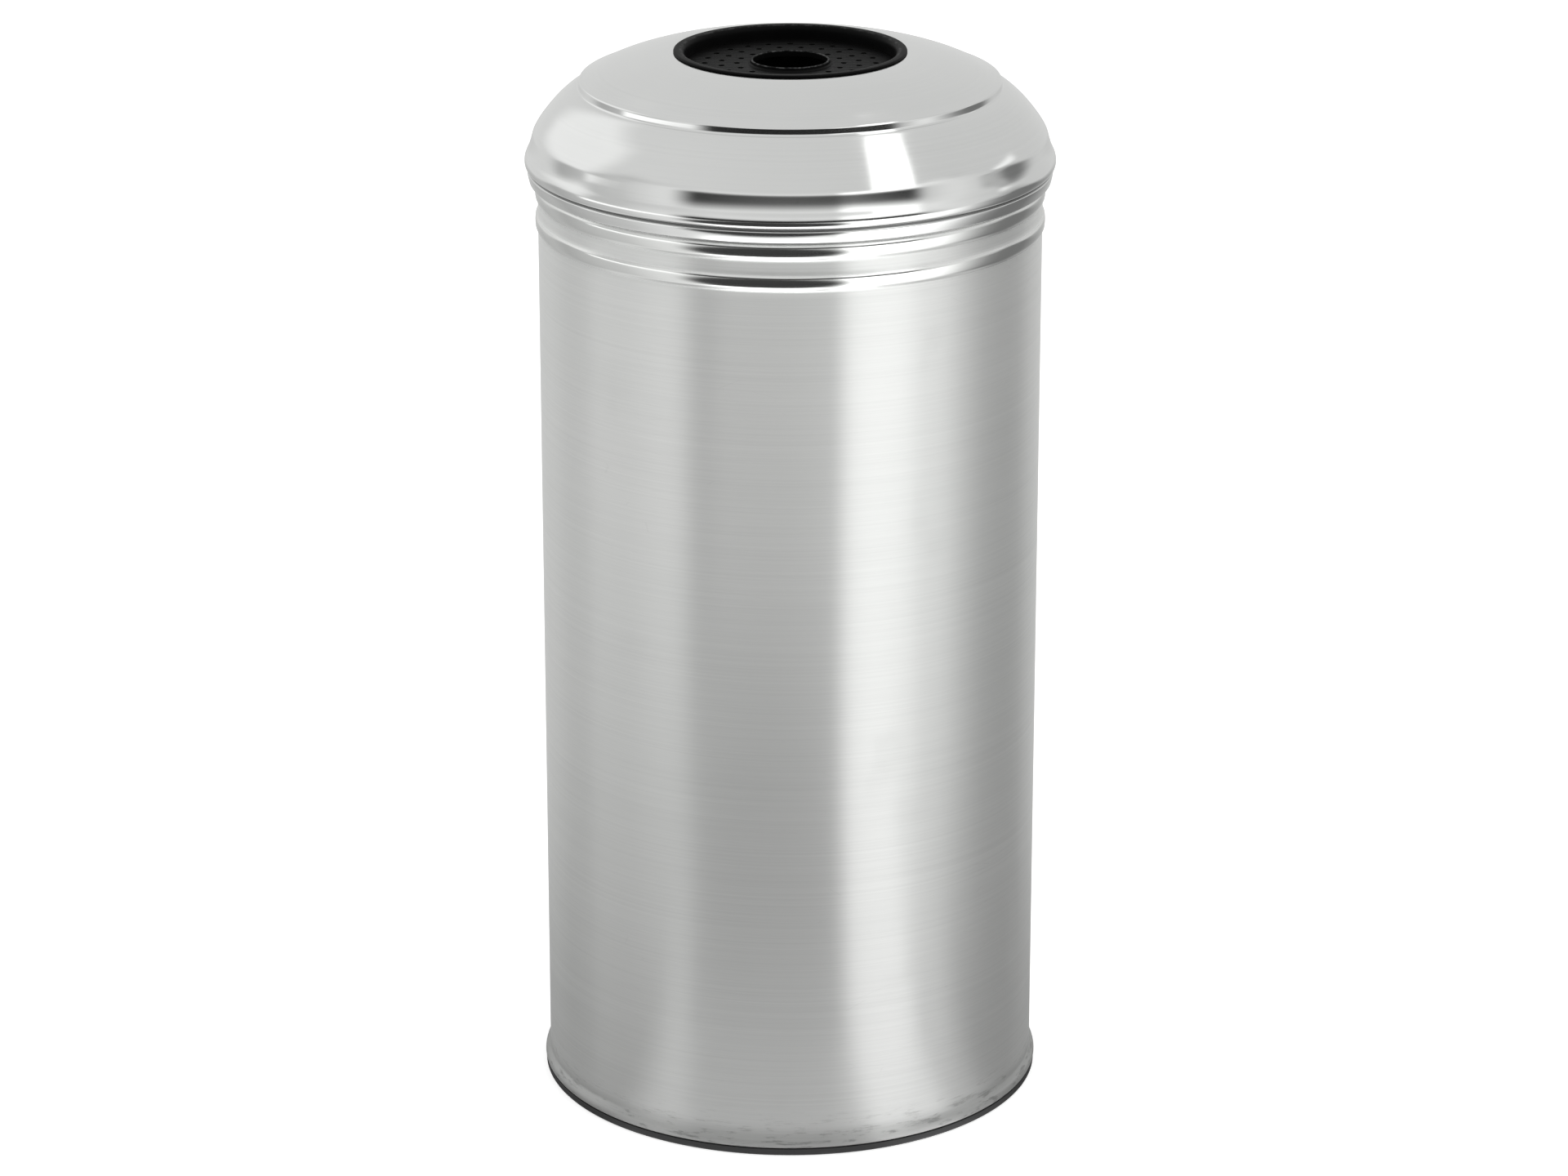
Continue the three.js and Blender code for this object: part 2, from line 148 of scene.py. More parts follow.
def rounded(points, radius, steps=4):
    """Closed outline with each corner turned into a small arc; radius is one number or one per point."""
    out = []
    n = len(points)
    for i, p in enumerate(points):
        rr = radius[i] if isinstance(radius, (list, tuple)) else radius
        a, b = points[i - 1], points[(i + 1) % n]
        if rr <= 0:
            out.append(p)
            continue
        ua = (a[0] - p[0], a[1] - p[1])
        ub = (b[0] - p[0], b[1] - p[1])
        la, lb = math.hypot(*ua), math.hypot(*ub)
        if la < 1e-9 or lb < 1e-9:
            out.append(p)
            continue
        ua, ub = (ua[0] / la, ua[1] / la), (ub[0] / lb, ub[1] / lb)
        cosang = max(-1.0, min(1.0, ua[0] * ub[0] + ua[1] * ub[1]))
        ang = math.acos(cosang)
        cut = min(rr / max(math.tan(ang / 2), 1e-6), la * 0.48, lb * 0.48)
        p0 = (p[0] + ua[0] * cut, p[1] + ua[1] * cut)
        p1 = (p[0] + ub[0] * cut, p[1] + ub[1] * cut)
        for k in range(steps + 1):
            w = k / steps
            out.append(
                (
                    (1 - w) ** 2 * p0[0] + 2 * w * (1 - w) * p[0] + w * w * p1[0],
                    (1 - w) ** 2 * p0[1] + 2 * w * (1 - w) * p[1] + w * w * p1[1],
                )
            )
    return out


# ---------------------------------------------------------------- mesh helpers
def finish_mesh(me, angle=38.0):
    bm = bmesh.new()
    bm.from_mesh(me)
    bmesh.ops.remove_doubles(bm, verts=bm.verts, dist=1e-7)
    bmesh.ops.dissolve_degenerate(bm, edges=bm.edges, dist=1e-8)
    bmesh.ops.recalc_face_normals(bm, faces=bm.faces)
    bm.to_mesh(me)
    bm.free()
    me.shade_smooth()
    me.set_sharp_from_angle(angle=math.radians(angle))
    me.update()


def add_object(name, me, material=None):
    o = bpy.data.objects.new(name, me)
    scene.collection.objects.link(o)
    if material is not None:
        me.materials.append(material)
    return o


def lathe_data(outline, segments, m=None):
    """Vertices and faces of a closed (r, z) outline in mm, revolved about +Z."""
    pts = []
    for p in outline:
        if not pts or math.hypot(p[0] - pts[-1][0], p[1] - pts[-1][1]) > 1e-5:
            pts.append(p)
    if math.hypot(pts[0][0] - pts[-1][0], pts[0][1] - pts[-1][1]) <= 1e-5:
        pts.pop()
    verts, faces, rows = [], [], []
    for r, z in pts:
        if r < 1e-6:
            rows.append([len(verts)] * segments)
            verts.append((0.0, 0.0, z * MM))
        else:
            start = len(verts)
            for k in range(segments):
                w = 2 * math.pi * k / segments
                verts.append((r * MM * math.cos(w), r * MM * math.sin(w), z * MM))
            rows.append([start + k for k in range(segments)])
    n = len(pts)
    for i in range(n):
        a, b = rows[i], rows[(i + 1) % n]
        if a[0] == a[1] and b[0] == b[1]:
            continue
        for k in range(segments):
            k2 = (k + 1) % segments
            ring = []
            for v in (a[k], a[k2], b[k2], b[k]):
                if v not in ring:
                    ring.append(v)
            if len(ring) > 2:
                faces.append(ring)
    if m is not None:
        verts = [tuple(m @ Vector(v)) for v in verts]
    return verts, faces


def mesh_from(name, *parts, angle=38.0):
    verts, faces = [], []
    for v, f in parts:
        base = len(verts)
        verts += v
        faces += [[base + i for i in face] for face in f]
    me = bpy.data.meshes.new(name)
    me.from_pydata(verts, [], faces)
    finish_mesh(me, angle)
    return me


def lathe(name, outline, material, segments=ROUND, angle=38.0, m=None):
    return add_object(name, mesh_from(name, lathe_data(outline, segments, m), angle=angle), material)


def tube_data(points, radii, normal, sides=20, cap=True):
    """A round tube along points (metres, all in one plane with that normal); radii is one per point."""
    verts, faces = [], []
    n = len(points)
    for i, p in enumerate(points):
        t = (points[min(i + 1, n - 1)] - points[max(i - 1, 0)]).normalized()
        side = normal.cross(t).normalized()
        for k in range(sides):
            w = 2 * math.pi * k / sides
            verts.append(tuple(p + (side * math.cos(w) + normal * math.sin(w)) * radii[i]))
    for i in range(n - 1):
        for k in range(sides):
            k2 = (k + 1) % sides
            faces.append([i * sides + k, i * sides + k2, (i + 1) * sides + k2, (i + 1) * sides + k])
    if cap:
        faces.append(list(range(sides)))
        faces.append([(n - 1) * sides + k for k in range(sides)])
    return verts, faces


def flat_plate(name, outer, holes, thickness, chamfer=0.12):
    """A flat plate in the XY plane, centred on z = 0, with rounded-over edges. Outlines are lists of (x, y) in mm."""
    cu = bpy.data.curves.new(name + "_outline", "CURVE")
    cu.dimensions, cu.fill_mode = "2D", "BOTH"
    cu.extrude = (thickness / 2 - chamfer) * MM
    cu.bevel_depth, cu.bevel_resolution = chamfer * MM, 1
    cu.offset = -chamfer * MM
    for ring in (outer, *holes):
        sp = cu.splines.new("POLY")
        sp.points.add(len(ring) - 1)
        for q, (x, y) in zip(sp.points, ring):
            q.co = (x * MM, y * MM, 0, 1)
        sp.use_cyclic_u = True
    tmp = bpy.data.objects.new(name + "_tmp", cu)
    scene.collection.objects.link(tmp)
    bpy.context.view_layer.update()
    dg = bpy.context.evaluated_depsgraph_get()
    me = bpy.data.meshes.new_from_object(tmp.evaluated_get(dg))
    bpy.data.objects.remove(tmp)
    bpy.data.curves.remove(cu)
    me.name = name
    return me


def circle(r, n, cx=0.0, cy=0.0):
    return [(cx + r * math.cos(2 * math.pi * i / n), cy + r * math.sin(2 * math.pi * i / n)) for i in range(n)]


def mesh_data(me):
    return [tuple(v.co) for v in me.vertices], [list(p.vertices) for p in me.polygons]


# ---------------------------------------------------------------- node helpers
class Nodes:
    """Small wrapper to write shader graphs as expressions."""

    def __init__(self, tree):
        self.tree = tree
        tree.nodes.clear()

    def put(self, socket, value):
        if isinstance(value, bpy.types.NodeSocket):
            self.tree.links.new(value, socket)
        elif value is not None:
            if hasattr(socket.default_value, "__len__") and not hasattr(value, "__len__"):
                value = [value] * len(socket.default_value)
            if hasattr(value, "__len__") and hasattr(socket.default_value, "__len__"):
                value = list(value)
                if len(socket.default_value) == 4 and len(value) == 3:
                    value.append(1.0)
            socket.default_value = value

    def node(self, kind, inputs=None, **props):
        n = self.tree.nodes.new(kind)
        for k, v in props.items():
            setattr(n, k, v)
        for k, v in (inputs or {}).items():
            self.put(n.inputs[k], v)
        return n

    def math(self, op, a, b=None, c=None, clamp=False):
        n = self.node("ShaderNodeMath", operation=op, use_clamp=clamp)
        for i, v in enumerate((a, b, c)):
            self.put(n.inputs[i], v)
        return n.outputs[0]

    def add(self, a, b):
        return self.math("ADD", a, b)

    def sub(self, a, b):
        return self.math("SUBTRACT", a, b)

    def mul(self, a, b):
        return self.math("MULTIPLY", a, b)

    def step(self, x, lo, hi, a=0.0, b=1.0):
        """Smooth step of x from lo to hi, giving a to b."""
        n = self.node("ShaderNodeMapRange", interpolation_type="SMOOTHSTEP")
        for k, v in (("Value", x), ("From Min", lo), ("From Max", hi), ("To Min", a), ("To Max", b)):
            self.put(n.inputs[k], v)
        return n.outputs["Result"]

    def remap(self, x, lo, hi, a=0.0, b=1.0):
        n = self.node("ShaderNodeMapRange", interpolation_type="LINEAR")
        for k, v in (("Value", x), ("From Min", lo), ("From Max", hi), ("To Min", a), ("To Max", b)):
            self.put(n.inputs[k], v)
        return n.outputs["Result"]

    def band(self, x, lo, hi, soft):
        """1 between lo and hi, with soft edges."""
        return self.mul(self.step(x, lo - soft, lo + soft), self.step(x, hi - soft, hi + soft, 1.0, 0.0))

    def ramp(self, x, stops, interpolation="LINEAR"):
        n = self.node("ShaderNodeValToRGB")
        cr = n.color_ramp
        cr.interpolation = interpolation
        while len(cr.elements) > 1:
            cr.elements.remove(cr.elements[-1])
        cr.elements[0].position = stops[0][0]
        for p, _ in stops[1:]:
            cr.elements.new(p)
        for e, (p, c) in zip(cr.elements, stops):
            e.position = p
            e.color = (*((c,) * 3 if not hasattr(c, "__len__") else c), 1.0)
        self.put(n.inputs[0], x)
        return n.outputs[0]

    def mix(self, fac, a, b, blend="MIX"):
        n = self.node("ShaderNodeMix", data_type="RGBA", blend_type=blend)
        self.put(n.inputs[0], fac)
        self.put(n.inputs[6], a)
        self.put(n.inputs[7], b)
        return n.outputs[2]

    def lerp(self, fac, a, b):
        n = self.node("ShaderNodeMix", data_type="FLOAT")
        self.put(n.inputs[0], fac)
        self.put(n.inputs[2], a)
        self.put(n.inputs[3], b)
        return n.outputs[0]

    def noise(self, vector, scale=1.0, detail=2.0, rough=0.5, out="Fac"):
        n = self.node("ShaderNodeTexNoise", {"Vector": vector, "Scale": scale, "Detail": detail, "Roughness": rough})
        return n.outputs[out]

    def scaled(self, vector, s, shift=(0, 0, 0)):
        n = self.node("ShaderNodeMapping", {"Vector": vector, "Scale": s, "Location": shift})
        return n.outputs[0]

    def bump(self, height, strength, distance, normal=None):
        n = self.node("ShaderNodeBump", {"Height": height, "Strength": strength, "Distance": distance})
        if normal is not None:
            self.put(n.inputs["Normal"], normal)
        return n.outputs[0]


def material(name):
    m = bpy.data.materials.new(name)
    m.use_nodes = True
    g = Nodes(m.node_tree)
    tc = g.node("ShaderNodeTexCoord").outputs["Object"]
    xyz = g.node("ShaderNodeSeparateXYZ", {0: tc})
    return m, g, tc, xyz.outputs


def principled(m, g, **inputs):
    b = g.node("ShaderNodeBsdfPrincipled")
    for k, v in inputs.items():
        g.put(b.inputs[k.replace("_", " ")], v)
    out = g.node("ShaderNodeOutputMaterial")
    g.tree.links.new(b.outputs[0], out.inputs[0])
    return b


def ring_tangent(g, xyz):
    """World-space direction that runs round the bin's axis."""
    minus_y = g.mul(xyz[1], -1.0)
    v = g.node("ShaderNodeCombineXYZ", {0: minus_y, 1: xyz[0], 2: 0.0}).outputs[0]
    t = g.node("ShaderNodeVectorTransform", {0: v}, vector_type="VECTOR", convert_from="OBJECT", convert_to="WORLD")
    n = g.node("ShaderNodeVectorMath", {0: t.outputs[0]}, operation="NORMALIZE")
    return n.outputs[0]


# ---------------------------------------------------------------- materials
RIB_Z = (0.543, 0.5611)


def steel_body():
    """Satin stainless sheet, grain running round the body, with the rolled ribs burnished brighter."""
    m, g, tc, xyz = material("satin_stainless")
    fine = g.noise(g.scaled(tc, (9, 9, 2600)), 1.0, 2.0, 0.6)
    grain = g.noise(g.scaled(tc, (4, 4, 900)), 1.0, 3.0, 0.65)
    streak = g.noise(g.scaled(tc, (2.2, 2.2, 240), (3, 1, 7)), 1.0, 2.0, 0.5)
    cloud = g.noise(g.scaled(tc, (7, 7, 4.5)), 1.0, 3.0, 0.55)
    smudge = g.step(g.noise(g.scaled(tc, (26, 26, 20), (5, 2, 9)), 1.0, 4.0, 0.6), 0.56, 0.74)
    ribs = g.math(
        "MAXIMUM",
        g.band(xyz[2], RIB_Z[0] - 0.0050, RIB_Z[0] + 0.0043, 0.0010),
        g.band(xyz[2], RIB_Z[1] - 0.0050, RIB_Z[1] + 0.0043, 0.0010),
    )
    # small knocks and floor scuffs near the foot, and hairline scratches here and there
    low = g.step(xyz[2], 0.006, 0.034, 1.0, 0.0)
    scuff = g.mul(low, g.step(g.noise(g.scaled(tc, (60, 60, 420)), 1.0, 4.0, 0.7), 0.52, 0.66))
    w = g.node("ShaderNodeTexVoronoi", {"Vector": g.scaled(tc, (11, 11, 150), (1, 4, 2)), "Scale": 1.0}, feature="DISTANCE_TO_EDGE")
    hair = g.mul(g.step(w.outputs["Distance"], 0.0, 0.012, 1.0, 0.0), g.step(cloud, 0.5, 0.62))
    tone = g.add(g.mul(g.sub(grain, 0.5), 0.11), g.mul(g.sub(streak, 0.5), 0.03))
    tone = g.add(tone, g.mul(g.sub(cloud, 0.5), 0.05))
    # painted shade: the base colour is darkened steadily from 0.50 m down to 0.02 m, standing in for the darker
    # reflections low on the body
    value = g.add(g.sub(0.80, g.mul(g.step(xyz[2], 0.02, 0.50, 1.0, 0.0), 0.14)), tone)
    value = g.lerp(ribs, value, 0.83)
    value = g.sub(value, g.mul(scuff, 0.16))
    # painted shade: the lowest 5 to 22 mm of the body are darkened evenly, standing in for shade near the base edging
    # and floor
    value = g.sub(value, g.mul(g.step(xyz[2], 0.005, 0.022, 1.0, 0.0), 0.20))
    value = g.sub(value, g.mul(hair, 0.03))
    tint = g.mix(cloud, (0.985, 1.0, 0.985, 1), (1.0, 0.997, 0.99, 1))
    col = g.mix(1.0, tint, g.node("ShaderNodeCombineColor", {0: value, 1: value, 2: value}).outputs[0], "MULTIPLY")
    rough = g.add(0.385, g.mul(g.sub(fine, 0.5), 0.10))
    rough = g.add(rough, g.mul(smudge, 0.035))
    rough = g.add(rough, g.mul(g.sub(streak, 0.5), 0.03))
    rough = g.lerp(ribs, rough, g.add(0.13, g.mul(g.sub(grain, 0.5), 0.05)))
    rough = g.add(rough, g.mul(scuff, 0.12))
    height = g.add(g.mul(fine, 0.4), g.mul(grain, 0.6))
    nrm = g.bump(height, g.lerp(ribs, 0.10, 0.03), 0.00004)
    nrm = g.bump(g.noise(g.scaled(tc, (13, 13, 5)), 1.0, 1.0, 0.4), 0.25, 0.00012, nrm)
    principled(
        m, g, Base_Color=col, Metallic=g.lerp(ribs, 0.79, 1.0), Roughness=rough, Normal=nrm,
        Anisotropic=g.lerp(ribs, 1.0, 0.2), Anisotropic_Rotation=0.25, Tangent=ring_tangent(g, xyz),
    )
    return m


def steel_lid():
    """Polished spun stainless: faint rings from the spinning tool and a buffed haze."""
    m, g, tc, xyz = material("polished_stainless")
    flat = g.node("ShaderNodeCombineXYZ", {0: xyz[0], 1: xyz[1], 2: 0.0}).outputs[0]
    radius = g.node("ShaderNodeVectorMath", {0: flat}, operation="LENGTH").outputs["Value"]
    along = g.sub(radius, g.mul(xyz[2], 0.9))  # runs down the dome's profile
    ring = g.node("ShaderNodeCombineXYZ", {0: g.mul(xyz[0], 3.0), 1: g.mul(xyz[1], 3.0), 2: g.mul(along, 850.0)}).outputs[0]
    spin = g.noise(ring, 1.0, 3.0, 0.6)
    coarse = g.noise(g.node("ShaderNodeCombineXYZ", {0: 0.0, 1: 0.0, 2: g.mul(along, 190.0)}).outputs[0], 1.0, 1.0, 0.5)
    haze = g.noise(g.scaled(tc, (17, 17, 17)), 1.0, 4.0, 0.6)
    prints = g.step(g.noise(g.scaled(tc, (34, 34, 34), (2, 8, 3)), 1.0, 5.0, 0.65), 0.58, 0.72)
    value = g.add(0.80, g.mul(g.sub(spin, 0.5), 0.05))
    value = g.add(value, g.mul(g.sub(haze, 0.5), 0.03))
    # painted shade: the base colour is darkened in the rolled crease under the bead, standing in for the shadow in that
    # crevice; the finish there is also rougher
    crease_shade = g.band(xyz[2], 0.5744, 0.5757, 0.0005)
    value = g.mul(value, g.sub(1.0, g.mul(crease_shade, 0.72)))
    col = g.node("ShaderNodeCombineColor", {0: value, 1: g.mul(value, 1.004), 2: value}).outputs[0]
    rough = g.add(0.115, g.mul(g.sub(spin, 0.5), 0.05))
    rough = g.add(rough, g.mul(prints, 0.035))
    rough = g.add(rough, g.mul(crease_shade, 0.3))
    nrm = g.bump(g.add(g.mul(spin, 0.35), coarse), 0.05, 0.00006)
    principled(
        m, g, Base_Color=col, Metallic=1.0, Roughness=rough, Normal=nrm,
        Anisotropic=0.3, Anisotropic_Rotation=0.25, Tangent=ring_tangent(g, xyz),
    )
    return m


def enamel():
    """Black stove enamel with a slight orange peel, worn grey along its raised edges, where the grey also serves as a
    painted glint, and a little ash.
    """
    m, g, tc, xyz = material("black_stove_enamel")
    peel = g.noise(tc, 420.0, 2.0, 0.5)
    cloud = g.noise(tc, 60.0, 4.0, 0.6)
    speck = g.step(g.noise(tc, 900.0, 2.0, 0.5), 0.70, 0.76)
    flat = g.node("ShaderNodeCombineXYZ", {0: xyz[0], 1: xyz[1], 2: 0.0}).outputs[0]
    radius = g.node("ShaderNodeVectorMath", {0: flat}, operation="LENGTH").outputs["Value"]
    lip = g.mul(g.band(radius, 0.0212, 0.0236, 0.0004), g.step(xyz[2], 0.6376, 0.6381))
    rim = g.mul(g.band(radius, 0.0628, 0.0655, 0.0006), g.step(xyz[2], 0.6436, 0.6442))
    # wear and painted glint: lighter, part-metallic grey on the drop-hole lip and the tray rim
    wear_and_glint = g.mul(g.add(lip, g.mul(rim, 0.35)), g.step(g.noise(tc, 240.0, 5.0, 0.7), 0.44, 0.62))
    plate = g.mul(g.step(xyz[2], 0.6352, 0.6357), g.step(radius, 0.060, 0.0605, 1.0, 0.0))
    ash = g.mul(g.mul(plate, 0.5), g.mul(speck, g.step(cloud, 0.5, 0.7)))
    value = g.add(0.0022, g.mul(cloud, 0.003))
    value = g.add(value, g.mul(wear_and_glint, 0.10))
    value = g.add(value, g.mul(ash, 0.10))
    col = g.node("ShaderNodeCombineColor", {0: value, 1: value, 2: g.mul(value, 1.02)}).outputs[0]
    rough = g.add(0.46, g.mul(g.sub(cloud, 0.5), 0.12))
    rough = g.add(rough, g.mul(ash, 0.4))
    nrm = g.bump(peel, 0.10, 0.00012)
    principled(m, g, Base_Color=col, Metallic=g.mul(wear_and_glint, 0.5), Roughness=rough, Normal=nrm, Specular_IOR_Level=0.05)
    return m


def trim():
    m, g, tc, xyz = material("black_edging")
    tex = g.noise(tc, 1500.0, 2.0, 0.6)
    cloud = g.noise(g.scaled(tc, (30, 30, 160)), 1.0, 4.0, 0.65)
    scuff = g.mul(g.step(xyz[2], 0.0, 0.0025, 1.0, 0.0), g.step(cloud, 0.5, 0.66))
    value = g.add(0.020, g.mul(cloud, 0.014))
    value = g.add(value, g.mul(scuff, 0.06))
    col = g.node("ShaderNodeCombineColor", {0: value, 1: value, 2: g.mul(value, 1.03)}).outputs[0]
    nrm = g.bump(tex, 0.35, 0.00006)
    principled(m, g, Base_Color=col, Roughness=g.add(0.52, g.mul(cloud, 0.2)), Normal=nrm)
    return m


def galvanised():
    """Hot-dip galvanised sheet: soft crystal spangle, dull zinc bloom, rub marks down the sides."""
    m, g, tc, xyz = material("galvanised_sheet")
    wob = g.noise(tc, 70.0, 2.0, 0.5, out="Color")
    bent = g.node("ShaderNodeVectorMath", {0: tc, 1: g.node("ShaderNodeVectorMath", {0: wob, 3: 0.010}, operation="SCALE").outputs[0]}, operation="ADD").outputs[0]
    big = g.node("ShaderNodeTexVoronoi", {"Vector": bent, "Scale": 85.0})
    small = g.node("ShaderNodeTexVoronoi", {"Vector": bent, "Scale": 210.0})
    cell = g.node("ShaderNodeSeparateColor", {0: big.outputs["Color"]}).outputs[0]
    cell2 = g.node("ShaderNodeSeparateColor", {0: small.outputs["Color"]}).outputs[1]
    bloom = g.noise(tc, 22.0, 5.0, 0.6)
    rub = g.step(g.noise(g.scaled(tc, (90, 90, 5)), 1.0, 4.0, 0.65), 0.54, 0.72)
    value = g.add(0.50, g.mul(g.sub(cell, 0.5), 0.14))
    value = g.add(value, g.mul(g.sub(cell2, 0.5), 0.05))
    value = g.add(value, g.mul(g.sub(bloom, 0.5), 0.10))
    value = g.add(value, g.mul(rub, 0.05))
    col = g.node("ShaderNodeCombineColor", {0: g.mul(value, 0.975), 1: g.mul(value, 0.995), 2: g.mul(value, 1.015)}).outputs[0]
    rough = g.add(0.40, g.mul(g.sub(cell2, 0.5), 0.10))
    rough = g.add(rough, g.mul(g.sub(bloom, 0.5), 0.16))
    rough = g.sub(rough, g.mul(rub, 0.08))
    nrm = g.bump(g.add(cell, g.mul(cell2, 0.4)), 0.18, 0.00008)
    nrm = g.bump(g.noise(tc, 500.0, 2.0, 0.5), 0.12, 0.00004, nrm)
    principled(m, g, Base_Color=col, Metallic=1.0, Roughness=rough, Normal=nrm)
    return m


def zinc():
    m, g, tc, xyz = material("zinc_plated_wire")
    n1 = g.noise(tc, 320.0, 3.0, 0.6)
    n2 = g.noise(tc, 45.0, 4.0, 0.6)
    value = g.add(0.56, g.mul(g.sub(n1, 0.5), 0.12))
    value = g.add(value, g.mul(g.sub(n2, 0.5), 0.12))
    col = g.node("ShaderNodeCombineColor", {0: value, 1: value, 2: g.mul(value, 1.01)}).outputs[0]
    rough = g.add(0.28, g.mul(g.sub(n2, 0.5), 0.18))
    nrm = g.bump(n1, 0.2, 0.00005)
    principled(m, g, Base_Color=col, Metallic=1.0, Roughness=rough, Normal=nrm)
    return m


def grip():
    m, g, tc, xyz = material("black_grip_moulding")
    tex = g.node("ShaderNodeTexVoronoi", {"Vector": tc, "Scale": 1300.0}).outputs["Distance"]
    cloud = g.noise(tc, 90.0, 4.0, 0.6)
    value = g.add(0.014, g.mul(cloud, 0.012))
    col = g.node("ShaderNodeCombineColor", {0: value, 1: value, 2: g.mul(value, 1.05)}).outputs[0]
    nrm = g.bump(tex, 0.45, 0.00008)
    principled(m, g, Base_Color=col, Roughness=g.add(0.42, g.mul(cloud, 0.2)), Normal=nrm)
    return m


BODY, LID, BLACK, TRIM = steel_body(), steel_lid(), enamel(), trim()
GALV, ZINC, GRIP = galvanised(), zinc(), grip()


def place(o, body, slot_name, *nodes):
    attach(o, body)
    if nodes:
        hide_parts(*nodes)
    return o


# ---------------------------------------------------------------- housing
def rib_line(zc, base=150.0):
    """A rolled rib: a broad shallow crest between two steeper flanks with small fillets."""
    crest_r, knee = 19.5, math.radians(8.5)
    flank = math.tan(math.radians(25))
    u1 = crest_r * math.sin(knee)
    drop = crest_r * (1 - math.cos(knee))
    foot_u = u1 + (1.6 - drop) / flank
    half = [(foot_u + 0.9, 0.0), (foot_u + 0.25, 0.05), (foot_u - 0.25, 0.2)]
    half += [(u1 + t * (foot_u - u1), 1.6 - drop - t * (foot_u - u1) * flank) for t in (0.75, 0.5, 0.25)]
    half += [(u1 * t, 1.6 - crest_r * (1 - math.cos(math.asin(u1 * t / crest_r)))) for t in (1.0, 0.8, 0.6, 0.4, 0.2)]
    up_side = [(base + h, zc - u) for u, h in half]
    return [*up_side, (base + 1.6, zc), *[(base + h, zc + u) for u, h in reversed(half)]]


foot = catmull([(151.8, 4.6), (152.75, 5.5), (153.0, 6.8), (152.5, 8.9), (151.0, 11.0), (150.15, 12.6), (150.0, 14.6)], 0.5)
wall = [(150.0, z) for z in (14.6, 60, 120, 200, 280, 360, 440, 500, 535.8)]
curl = arc(151.3, 574.6, 1.3, 180, -100, 16)
body_line = [*foot, *wall[1:], *rib_line(543)[1:], (150.0, 551.7), *rib_line(561.1), (150.0, 571.6), *curl]
body_line = relax(body_line, 1, lambda r, z: 0.15 if 535 < z < 570.5 else 0.0)
body = lathe("body_shell_surface", hem_end(sheet(body_line, 0.8), 0.8, at_start=True), BODY)
place(body, "housing", "body_steel", "body_shell")


def seam_strip():
    """The body's lap seam at the back: a thin raised edge with a row of spot welds."""
    cols, rows = 25, 520
    z0, z1, half = 15.5, 534.5, math.radians(2.3)
    welds = [z0 + 12 + 24.5 * i for i in range(int((z1 - z0 - 16) / 24.5) + 1)]
    verts, faces = [], []
    for j in range(rows + 1):
        z = z0 + (z1 - z0) * j / rows
        end = min(1.0, (z - z0) / 1.6, (z1 - z) / 1.6)
        for i in range(cols + 1):
            u = i / cols * 2 - 1
            edge = max(0.0, min(1.0, (1 - abs(u)) / 0.14))
            h = 0.42 * (edge * edge * (3 - 2 * edge)) * max(0.0, min(1.0, end)) ** 0.5
            for zw in welds:
                d2 = ((u * half * 150) ** 2 + (z - zw) ** 2) / 2.2**2
                if d2 < 9:
                    h -= 0.26 * math.exp(-(d2**1.5)) * edge
                    ringd = abs(math.sqrt(d2) - 1.25)
                    h += 0.05 * math.exp(-((ringd / 0.3) ** 2)) * edge
            a = math.pi / 2 + u * half
            r = (150.0 + max(h, 0.0) - (0.02 if 0 < i < cols else 0.12)) * MM
            verts.append((r * math.cos(a), r * math.sin(a), z * MM))
    n = cols + 1
    back = len(verts)
    for j in (0, rows):
        z = z0 + (z1 - z0) * j / rows
        for i in range(n):
            a = math.pi / 2 + (i / cols * 2 - 1) * half
            verts.append((149.7 * MM * math.cos(a), 149.7 * MM * math.sin(a), z * MM))
    for j in range(rows):
        for i in range(cols):
            faces.append([j * n + i, j * n + i + 1, (j + 1) * n + i + 1, (j + 1) * n + i])
    lo, hi = back, back + n
    for i in range(cols):
        faces.append([lo + i, hi + i, hi + i + 1, lo + i + 1])
        faces.append([i, lo + i, lo + i + 1, i + 1])
        top = rows * n
        faces.append([top + i, top + i + 1, hi + i + 1, hi + i])
    faces.append([lo, *[j * n for j in range(rows + 1)], hi])
    faces.append([hi + cols, *[j * n + cols for j in range(rows, -1, -1)], lo + cols])
    me = bpy.data.meshes.new("body_back_seam")
    me.from_pydata(verts, [], faces)
    finish_mesh(me, 40)
    return add_object("body_back_seam", me, BODY)


place(seam_strip(), "housing", "body_steel")

pan = rounded(
    [(0, 12.4), (148.9, 12.4), (148.9, 25), (147.9, 25), (147.9, 13.4), (122, 13.4), (120.5, 16.4), (118, 16.4), (116.5, 13.4), (0, 13.4)],
    [0, 0.8, 0.3, 0.3, 1.2, 0.9, 0.8, 0.8, 0.9, 0],
    5,
)
place(lathe("base_pan_pressing", pan, BODY), "housing", "body_steel", "base_pan")

edging = rounded(
    [(146.2, 0), (151.8, 0), (152.6, 0.9), (152.6, 4.2), (148.8, 4.2), (148.8, 12.1), (146.2, 12.1)],
    [0.5, 0.5, 0.7, 0.45, 0.2, 0.4, 0.4],
    5,
)
place(lathe("base_edging", edging, TRIM), "housing", "trim_plastic", "base_trim_ring")

